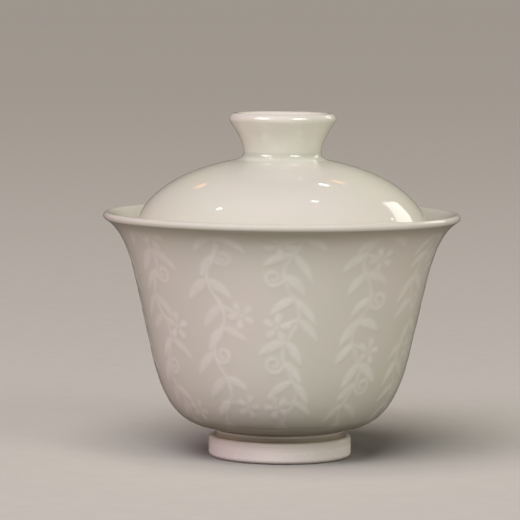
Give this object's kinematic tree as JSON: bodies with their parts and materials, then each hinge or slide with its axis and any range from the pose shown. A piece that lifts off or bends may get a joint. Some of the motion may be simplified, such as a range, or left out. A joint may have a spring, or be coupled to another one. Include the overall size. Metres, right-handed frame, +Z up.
{
  "type": "gaiwan",
  "caption": "Covered porcelain tea bowl: a flared bowl on a foot ring and a domed lid with a hollow ring knob that drops inside the rim, for brewing and pouring loose tea.",
  "frame": {"origin": "centre of the foot ring's flat resting plane, on the bowl's axis", "axes": "+Z up along the common axis of the bowl and the resting lid; +X to the right and +Y away from the viewer, both free choices on a turned shape"},
  "size_m": [0.095, 0.095, 0.0915],
  "materials": {
    "bowl_glaze": "pale celadon gloss glaze over white porcelain, with a faint white slip relief of leafy sprays",
    "lid_glaze": "plain pale celadon gloss glaze over white porcelain"
  },
  "bodies": {
    "bowl": {"bowl": "bowl_glaze"},
    "lid": {"lid": "lid_glaze"}
  },
  "joints": [
    {"name": "lid_lift", "type": "slide", "parent": "bowl", "child": "lid", "axis": [0, 0, 1], "range_m": [0, 0.03]}
  ]
}
